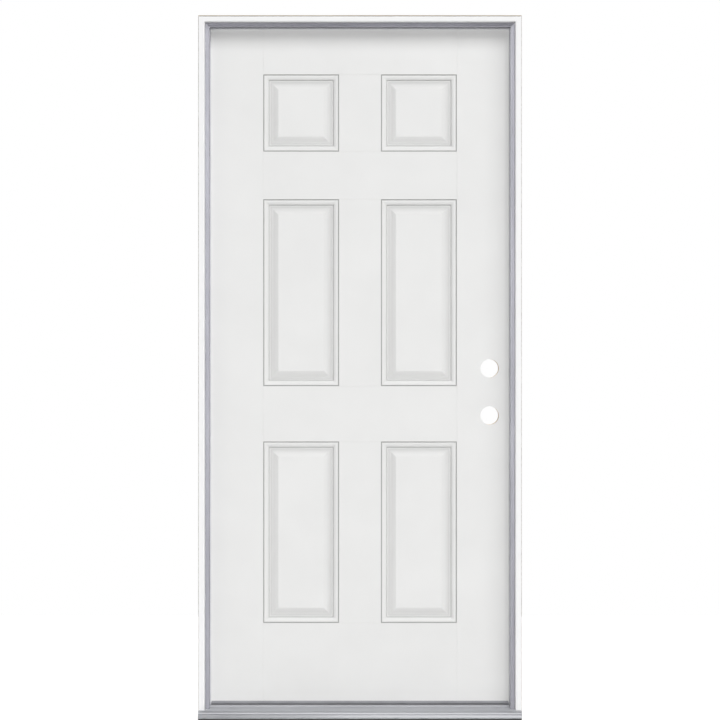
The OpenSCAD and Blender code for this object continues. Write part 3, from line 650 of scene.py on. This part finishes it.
def pressed_line(bm, start, end, face_y):
    """A V from start to end, both (x, z) in metres. Returns its outline's edges."""
    along = (Vector(end) - Vector(start)).normalized()
    across = Vector((-along.y, along.x)) * LINE_WIDTH / 2 * MM
    taper = along * LINE_WIDTH * MM
    ends = [Vector(start) + taper * LINE_INSET, Vector(end) - taper * LINE_INSET]
    inner = [ends[0] + taper, ends[1] - taper]
    outline = [ends[0], inner[0] - across, inner[1] - across, ends[1],
               inner[1] + across, inner[0] + across]
    edges, rim = ring(bm, [(p.x, face_y, p.y) for p in outline])
    deep = [bm.verts.new((p.x, face_y + LINE_DEPTH * MM, p.y)) for p in inner]
    for face in ((rim[1], rim[2], deep[1], deep[0]), (rim[4], rim[5], deep[0], deep[1]),
                 (rim[0], rim[1], deep[0]), (rim[5], rim[0], deep[0]),
                 (rim[3], rim[4], deep[1]), (rim[2], rim[3], deep[1])):
        bm.faces.new(face)
    return edges


def line_ends():
    """Where the pressed lines run: up the stiles between panels, and across the mullion."""
    stops = [0] + [edge for bottom, height in rows for edge in (bottom, bottom + height)]
    stops.append(slab_height)
    for low, high in zip(stops[::2], stops[1::2]):
        for x in (-stile_line, stile_line):
            yield (x, low), (x, high)
    for z in stops[1:-1]:
        yield (-MULLION / 2, z), (MULLION / 2, z)


def flat_of_skin(face_y, bottom_z, bore_side):
    """The stiles and rails as one flat, with the bores on the side of the sign given."""
    bm = bmesh.new()
    half = slab_width / 2

    def put(x, z):
        return (x * MM, face_y, bottom_z + z * MM)

    edges, _ = ring(bm, [put(-half, 0), put(half, 0), put(half, slab_height),
                         put(-half, slab_height)])
    for left, right, low, high in panels:
        edges += ring(bm, [put(left, low), put(right, low), put(right, high), put(left, high)])[0]
    bore_x = bore_side * (half - BORE_BACKSET)
    circle = [math.tau * step / BORE_STEPS for step in range(BORE_STEPS)]
    for height in BORE_HEIGHTS:
        edges += ring(bm, [put(bore_x + BORE_DIAMETER / 2 * math.cos(a),
                               height + BORE_DIAMETER / 2 * math.sin(a)) for a in circle])[0]
    for start, end in line_ends():
        ends = [(x * MM, bottom_z + z * MM) for x, z in (start, end)]
        edges += pressed_line(bm, *ends, face_y)
    bmesh.ops.triangle_fill(bm, use_beauty=True, edges=edges, normal=(0, -1, 0))
    return bm


print("each skin has", len(list(line_ends())), "pressed lines")

# %% [markdown]
# A skin is the flat and the six raised panels, welded along the panels' outlines. Its normals
# are turned outwards, and a Solidify modifier gives the sheet its thickness on the inner side.
# Shading is smooth over the curves and sharp where two surfaces meet at more than a few degrees.

# %% Put the outside skin together
INSETS = 120
WELD = 0.01 * MM
SKIN_SHARP_ANGLE = 12      # degrees


def panel_rectangles(face_y, bottom_z):
    bm = bmesh.new()
    for left, right, low, high in panels:
        corners = [(left, low), (right, low), (right, high), (left, high)]
        bm.faces.new([bm.verts.new((x * MM, face_y, bottom_z + z * MM)) for x, z in corners])
    return bm


def moulded_skin(name, face_y, bottom_z, bore_side):
    """A skin with a live Solidify modifier, its moulded face towards -Y."""
    source = object_from(name + "_panels", panel_rectangles(face_y, bottom_z))
    modifier = source.modifiers.new("mouldings", "NODES")
    modifier.node_group = panels_tree
    set_inputs(modifier, {
        "Moulding Width": MOULDING_WIDTH * MM, "Recess Depth": RECESS_DEPTH * MM,
        "Insets": INSETS, "Finish": finishes["skin"]})
    raised = plain_mesh(name + "_raised", source)
    bm = flat_of_skin(face_y, bottom_z, bore_side)
    bm.from_mesh(raised.data)
    bpy.data.objects.remove(raised)
    bmesh.ops.remove_doubles(bm, verts=bm.verts, dist=WELD)
    bmesh.ops.recalc_face_normals(bm, faces=bm.faces)
    if sum(face.normal.y * face.calc_area() for face in bm.faces) > 0:
        bmesh.ops.reverse_faces(bm, faces=bm.faces)
    print(name, "sheet has", len(bm.faces), "faces")
    sheet = object_from(name + "_sheet", bm)
    sheet.data.materials.append(finishes["skin"])
    wall = sheet.modifiers.new("wall", "SOLIDIFY")
    wall.thickness = SKIN_THICKNESS * MM
    wall.offset = -1
    return sheet


def close_smooth(piece, degrees):
    """Smooth shading everywhere, except over edges sharper than the angle."""
    for face in piece.data.polygons:
        face.use_smooth = True
    piece.data.set_sharp_from_angle(angle=math.radians(degrees))


def hand_over(piece, node, slot, body):
    """Hides the CAD node that the piece stands for and hangs the piece on its body. The slot is
    not used.
    """
    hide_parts(node)
    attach(piece, body)
    return len(piece.data.polygons)


outside = plain_mesh("exterior_face", moulded_skin("exterior", skin_low.y, skin_low.z, 1))
close_smooth(outside, SKIN_SHARP_ANGLE)
print("outside skin", hand_over(outside, "exterior_skin", "door_skin", "door"), "faces")

# %% [markdown]
# The inside skin is the same moulding, turned to face the room, so the bores change sides
# before the turn. A Boolean then notches its edge for the three hinge leaves, which lie on the
# slab's edge, a hair smaller than their notches.

# %% The inside skin
LEAF_CLEARANCE = 0.2 * MM
NOTCH_REACH = 2.6 * MM       # past the slab's edge, for a leaf 2.5 mm thick
NOTCH_DEPTH = 3 * MM         # deeper than the skin is thick
PAST = 1 * MM                # a cutter goes this far past what it cuts

inner_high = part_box("interior_skin")[1]
turned = moulded_skin("interior", skin_low.y, skin_low.z, -1)
middle_y = (skin_low.y + inner_high.y) / 2
turned.data.transform(Matrix.Translation((0, 2 * middle_y, 0)) @ Matrix.Rotation(math.pi, 4, "Z"))
bm = bmesh.new()
for place in ("top", "middle", "bottom"):
    low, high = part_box(f"door_leaf_{place}")
    low = Vector((low.x - PAST, inner_high.y - NOTCH_DEPTH, low.z - LEAF_CLEARANCE))
    high = Vector((skin_low.x + NOTCH_REACH, inner_high.y + PAST, high.z + LEAF_CLEARANCE))
    made = bmesh.ops.create_cube(bm, size=1)
    bmesh.ops.transform(bm, verts=made["verts"], matrix=(
        Matrix.Translation((low + high) / 2) @ Matrix.Diagonal((*(high - low), 1))))
notches = object_from("hinge_notches", bm)
cut = turned.modifiers.new("hinge notches", "BOOLEAN")
cut.object = notches
cut.operation = "DIFFERENCE"
inside = plain_mesh("interior_face", turned)
bpy.data.objects.remove(notches)
close_smooth(inside, SKIN_SHARP_ANGLE)
print("inside skin", hand_over(inside, "interior_skin", "door_skin", "door"), "faces")

# %% [markdown]
# ## Soft edges
# No real edge is perfectly sharp. Extrusions have a small radius from the die, stamped steel
# has a rolled arris, and foam and vinyl are rounder still. The CAD gives sharp corners, so each
# such piece gets a copy: its loose triangles are merged, flat areas are joined, and a Bevel
# modifier rounds every edge above an angle by the width that its real material shows.

# %% Ease the edges of one piece
DOUBLES = 0.002 * MM                   # corners closer than this are one corner
FLAT_ANGLE = math.radians(1.5)         # faces that differ by less are one face
EDGE_ANGLE = math.radians(35)          # edges sharper than this get rounded


def merged_copy(name):
    """The CAD piece's shape as a bmesh of joined faces."""
    bm = bmesh.new()
    bm.from_mesh(nodes[name].data)
    bmesh.ops.remove_doubles(bm, verts=bm.verts, dist=DOUBLES)
    return bm


def eased(name, width_mm, segments, finish, slot, body):
    """A copy of a CAD piece with rounded edges. Returns how many faces it has."""
    bm = merged_copy(name)
    bmesh.ops.dissolve_limit(bm, angle_limit=FLAT_ANGLE, verts=bm.verts, edges=bm.edges)
    copy = object_from(name + "_sharp", bm)
    copy.data.materials.append(finishes[finish])
    bevel = copy.modifiers.new("soft edges", "BEVEL")
    bevel.width = width_mm * MM
    bevel.segments = segments
    bevel.limit_method = "ANGLE"
    bevel.angle_limit = EDGE_ANGLE
    bevel.harden_normals = True
    close_smooth(copy, math.degrees(EDGE_ANGLE))
    return hand_over(plain_mesh(name + "_eased", copy), name, slot, body)


# %% [markdown]
# Each row gives some pieces, the width of their rounded edges in millimetres and how many
# faces round them. Extrusions have 0.25 to 0.3 mm, pressed leaves 0.35, seals 0.6, the moulded cap
# and the turned pins 0.8, and the foam pads 1.2.

# %% Make the eased pieces
faces = {}
for names, width, segments, finish, slot, body in (
        ("sill_deck", 0.3, 2, "sill", "sill_aluminium", "frame"),
        ("sill_cap", 0.8, 3, "cap", "cap_composite", "frame"),
        ("hinge_stop_facing strike_stop_facing", 0.25, 2, "stop_leg", "stop_facing", "frame"),
        # The head's facing takes the darker copy, which is painted shade.
        ("head_stop_facing", 0.25, 2, "stop_head_shaded", "stop_facing", "frame"),
        ("hinge_seal strike_seal head_seal", 0.6, 3, "seal", "foam_seal", "frame"),
        ("hinge_corner_pad strike_corner_pad", 1.2, 4, "pad", "pad_foam", "frame"),
        ("door_sweep", 0.3, 2, "vinyl", "sweep_vinyl", "door")):
    for name in names.split():
        faces[name] = eased(name, width, segments, finish, slot, body)
for place in ("top", "middle", "bottom"):
    for part, width, body in (("frame_leaf", 0.35, "frame"), ("hinge_pin", 0.8, "frame"),
                              ("door_leaf", 0.35, "door")):
        name = f"{part}_{place}"
        faces[name] = eased(name, width, 3, "steel", "hinge_steel", body)
print("eased copies", faces)

# %% [markdown]
# ## Screws
# Thirty-six screws hold the hinges, the cap and the frame together. They repeat, so Geometry
# Nodes make one and put copies of it where the CAD has them. Their places are measured from the
# CAD's own screws: one vertex at the middle of each head, with an arrow that says which way the
# head looks. A screw's long axis is its longest span, and its head is at the wider end.

# %% Find the screws' places
END_REACH = 0.1 * MM       # corners this close to an end belong to it


def loose_parts(bm):
    """The separate solids of a bmesh, each as a list of its corners' places."""
    visited = set()
    for first in bm.verts:
        if first in visited:
            continue
        visited.add(first)
        part, to_visit = [], [first]
        while to_visit:
            corner = to_visit.pop()
            part.append(corner.co.copy())
            for other in (edge.other_vert(corner) for edge in corner.link_edges):
                if other not in visited:
                    visited.add(other)
                    to_visit.append(other)
        yield part


def screw_places(name):
    """For each screw: the middle of its head and the way the head looks."""
    bm = merged_copy(name)
    places = []
    for corners in loose_parts(bm):
        least, most = (Vector([pick(c[i] for c in corners) for i in range(3)])
                       for pick in (min, max))
        spans = most - least
        axis = max(range(3), key=lambda i: spans[i])
        middle = (least + most) / 2
        reach = [max(abs(c[i] - middle[i]) for c in corners
                     if abs(c[axis] - end[axis]) < END_REACH for i in range(3) if i != axis)
                 for end in (least, most)]
        looks_up = reach[1] > reach[0]
        middle[axis] = (most if looks_up else least)[axis]
        arrow = Vector((0, 0, 0))
        arrow[axis] = 1 if looks_up else -1
        places.append((middle, arrow))
    bm.free()
    return places


print("cap screws at", [tuple(round(v, 3) for v in place)
                        for place, _ in screw_places("sill_cap_screws")])

# %% [markdown]
# One screw is a cone for its head, a cylinder for its shank and a cone for its point. Two bars
# are united into a cross, and the cross is cut out of the head before the parts are joined, so
# every part stays a closed solid. Instance on Points turns each copy by its arrow.

# %% A geometry tree that makes the screws
HEAD_SIDES, SHANK_SIDES = 32, 20
TIP_RADIUS = 0.4 * MM


def screw_tree():
    tree, given = new_tree("cross_head_screws", [(size, "Float") for size in (
        "Head Radius", "Head Height", "Neck Radius", "Shank Radius", "Length",
        "Point Length", "Cross Width", "Cross Length", "Cross Depth")])

    def worked_out(first, second, kind):
        return add(tree, "ShaderNodeMath", {0: first, 1: second}, operation=kind).outputs[0]

    def moved(mesh, height):
        place = add(tree, "ShaderNodeCombineXYZ", {"Z": height})
        return add(tree, "GeometryNodeTransform", {
            "Geometry": mesh, "Translation": place.outputs[0]}).outputs["Geometry"]

    def below(depth, sides, top, bottom):
        """A cone or cylinder that hangs from height 0 and is depth tall."""
        mesh = add(tree, "GeometryNodeMeshCone", {
            "Vertices": sides, "Radius Top": top, "Radius Bottom": bottom, "Depth": depth})
        return moved(mesh.outputs["Mesh"], worked_out(depth, -1.0, "MULTIPLY"))

    length, point = given.outputs["Length"], given.outputs["Point Length"]
    head = below(given.outputs["Head Height"], HEAD_SIDES, given.outputs["Head Radius"],
                 given.outputs["Neck Radius"])
    shank = below(worked_out(length, point, "SUBTRACT"), SHANK_SIDES,
                  given.outputs["Shank Radius"], given.outputs["Shank Radius"])
    tip = add(tree, "GeometryNodeMeshCone", {
        "Vertices": SHANK_SIDES, "Radius Top": given.outputs["Shank Radius"],
        "Radius Bottom": TIP_RADIUS, "Depth": point})
    tip = moved(tip.outputs["Mesh"], worked_out(length, -1.0, "MULTIPLY"))
    deep = worked_out(given.outputs["Cross Depth"], 2.0, "MULTIPLY")
    bars = []
    for turn in (("Cross Length", "Cross Width"), ("Cross Width", "Cross Length")):
        size = add(tree, "ShaderNodeCombineXYZ", {
            "X": given.outputs[turn[0]], "Y": given.outputs[turn[1]], "Z": deep})
        bars.append(add(tree, "GeometryNodeMeshCube", {"Size": size.outputs[0]}))
    cross = add(tree, "GeometryNodeMeshBoolean", operation="UNION", solver="EXACT")
    for bar in bars:
        tree.links.new(bar.outputs["Mesh"], cross.inputs["Mesh 2"])
    body = add(tree, "GeometryNodeMeshBoolean", {
        "Mesh 1": head, "Mesh 2": cross.outputs["Mesh"]},
        operation="DIFFERENCE", solver="EXACT")
    screw = add(tree, "GeometryNodeJoinGeometry")
    for mesh in (body.outputs["Mesh"], shank, tip):
        tree.links.new(mesh, screw.inputs["Geometry"])
    arrow = add(tree, "GeometryNodeInputNamedAttribute", {"Name": "looks"},
                data_type="FLOAT_VECTOR")
    turned = add(tree, "FunctionNodeAlignRotationToVector", {
        "Vector": arrow.outputs["Attribute"]}, axis="Z")
    copies = add(tree, "GeometryNodeInstanceOnPoints", {
        "Points": given.outputs["Geometry"], "Instance": screw.outputs["Geometry"],
        "Rotation": turned.outputs["Rotation"]})
    return end_tree(tree, copies.outputs["Instances"], given)


screws_tree = screw_tree()

# %% [markdown]
# The hinge and cap screws are 4.2 mm wood screws with countersunk heads. The frame's own screws
# are longer, with straight heads sunk in counterbores. All sizes are in millimetres.

# %% Make the screws
SCREW_SHARP_ANGLE = 30     # degrees


def screws(name, body, **sizes):
    """Screws in place of a CAD node's, their sizes in millimetres by the tree's input names."""
    places = screw_places(name)
    mesh = bpy.data.meshes.new(name)
    mesh.from_pydata([place for place, _ in places], [], [])
    looks = mesh.attributes.new("looks", "FLOAT_VECTOR", "POINT")
    for item, (_, arrow) in zip(looks.data, places):
        item.vector = arrow
    source = placed(name + "_places", mesh)
    modifier = source.modifiers.new("screws", "NODES")
    modifier.node_group = screws_tree
    values = {key.replace("_", " ").title(): value * MM for key, value in sizes.items()}
    set_inputs(modifier, {**values, "Finish": finishes["screw"]})
    piece = plain_mesh(name + "_made", source)
    close_smooth(piece, SCREW_SHARP_ANGLE)
    faces = hand_over(piece, name, "screw_steel", body)
    print(name, len(places), "screws,", faces, "faces")


wood_screw = dict(head_radius=4.5, neck_radius=2.1, shank_radius=2.1, point_length=4,
                  cross_width=0.9, cross_length=4.8, cross_depth=1.4)
screws("frame_leaf_screws", "frame", head_height=2.5, length=16, **wood_screw)
screws("door_leaf_screws", "door", head_height=2.5, length=26, **wood_screw)
screws("sill_cap_screws", "frame", head_height=3, length=26, **wood_screw)
screws("frame_screws", "frame", head_radius=4, head_height=2.5, neck_radius=4,
       shank_radius=2, length=50, point_length=4, cross_width=0.9, cross_length=4.8,
       cross_depth=1.2)

# %% [markdown]
# ## Studio
# The door stands on a pale floor in front of plain white. The sky is white to the camera and
# much dimmer to everything else, so the lights alone shape the door. The floor is lifted
# towards white for the eye only, and so casts little light back.

# %% Floor and sky
FLOOR_LIFT = 0.7
FLOOR_REACH = 4.0          # metres from the middle to each side
SKY_SEEN, SKY_CAST = 1.0, 0.10


def studio_floor():
    bm = bmesh.new()
    bmesh.ops.create_grid(bm, x_segments=1, y_segments=1, size=FLOOR_REACH)
    floor = object_from("studio_floor", bm)
    material, tree = new_material("pale_floor_paint")
    noise = add(tree, "ShaderNodeTexNoise", {
        "Vector": add(tree, "ShaderNodeTexCoord").outputs["Object"], "Scale": grain(400)})
    colour = blend_colours(tree, spread(tree, noise.outputs["Fac"], 0, 1),
                           linear("ececec"), linear("f0f0f0"))
    paint = add(tree, "ShaderNodeBsdfDiffuse", {"Color": colour})
    seen = add(tree, "ShaderNodeLightPath").outputs["Is Camera Ray"]
    lift = add(tree, "ShaderNodeMath", {0: seen, 1: FLOOR_LIFT}, operation="MULTIPLY")
    glow = add(tree, "ShaderNodeEmission", {"Strength": lift.outputs[0]})
    both = add(tree, "ShaderNodeAddShader", {0: paint.outputs[0], 1: glow.outputs[0]})
    add(tree, "ShaderNodeOutputMaterial", {"Surface": both.outputs[0]})
    floor.data.materials.append(material)


def sky():
    world = bpy.data.worlds.new("studio_sky")
    world.use_nodes = True
    tree = world.node_tree
    tree.nodes.clear()
    to_camera = add(tree, "ShaderNodeLightPath").outputs["Is Camera Ray"]
    seen, cast = (add(tree, "ShaderNodeBackground", {
        "Color": (1, 1, 1, 1), "Strength": strength}) for strength in (SKY_SEEN, SKY_CAST))
    mixed = add(tree, "ShaderNodeMixShader", {
        0: to_camera, 1: cast.outputs[0], 2: seen.outputs[0]})
    add(tree, "ShaderNodeOutputWorld", {"Surface": mixed.outputs[0]})
    bpy.context.scene.world = world


studio_floor()
sky()
print("sky", SKY_SEEN, "to the camera and", SKY_CAST, "to the door")

# %% [markdown]
# One large soft light, high and a little to the right, shapes the mouldings and lets the head
# and the right jamb cast a soft shadow on the slab. It stands far off, so the foot of the door
# gets nearly as much as the top. A weaker one further round catches the bevels, and a fill
# behind the camera opens the shadows. Two more light the room side, for whoever walks round.

# %% Lights
LIGHTS = (                 # name, azimuth, elevation, distance and side in metres, watts
    ("key", 14, 40, 20.0, 7.6, 1600),
    ("side", 44, 28, 12.0, 4.0, 180),
    ("fill", 0, 4, 12.0, 3.4, 440),
    ("back key", 200, 38, 12.0, 4.6, 520),
    ("back fill", 165, 12, 12.0, 4.6, 380),
)
centre = Vector((0, skin_low.y, frame_high.z / 2))


def soft_light(name, azimuth, elevation, distance, size, power):
    """A square light aimed at the door, from so many degrees to the right and up."""
    around, up = math.radians(azimuth), math.radians(elevation)
    way = Vector((math.sin(around) * math.cos(up), -math.cos(around) * math.cos(up),
                  math.sin(up)))
    data = bpy.data.lights.new(name, "AREA")
    data.shape = "SQUARE"
    data.size = size
    data.energy = power
    light = placed(name, data)
    light.visible_camera = False
    light.location = centre + way * distance
    light.rotation_euler = (-way).to_track_quat("-Z", "Y").to_euler()


for row in LIGHTS:
    soft_light(*row)
print("lights", [row[0] for row in LIGHTS])

# %% [markdown]
# The camera looks straight at the door from outside. It is level, so the frame's sides stay
# parallel, and it stands ten metres off behind a long lens, so depth hardly shows. The lens is
# worked out from the width of the view.

# %% Camera
VIEW_WIDTH = 2.119
EYE_HEIGHT = 1.0615
EYE_DISTANCE = 10.0
SENSOR = 36.0              # millimetres
CLIP_END = 60

camera_data = bpy.data.cameras.new("camera")
camera_data.sensor_width = SENSOR
camera_data.lens = SENSOR * EYE_DISTANCE / VIEW_WIDTH
camera_data.clip_end = CLIP_END
camera = placed("camera", camera_data)
front_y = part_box("hinge_jamb")[0].y
camera.location = (0, front_y - EYE_DISTANCE, EYE_HEIGHT)
camera.rotation_euler = (math.pi / 2, 0, 0)
bpy.context.scene.camera = camera
bpy.context.scene.view_settings.view_transform = "Standard"
print("camera", round(camera_data.lens, 1), "mm lens at", round(EYE_DISTANCE, 1), "m")
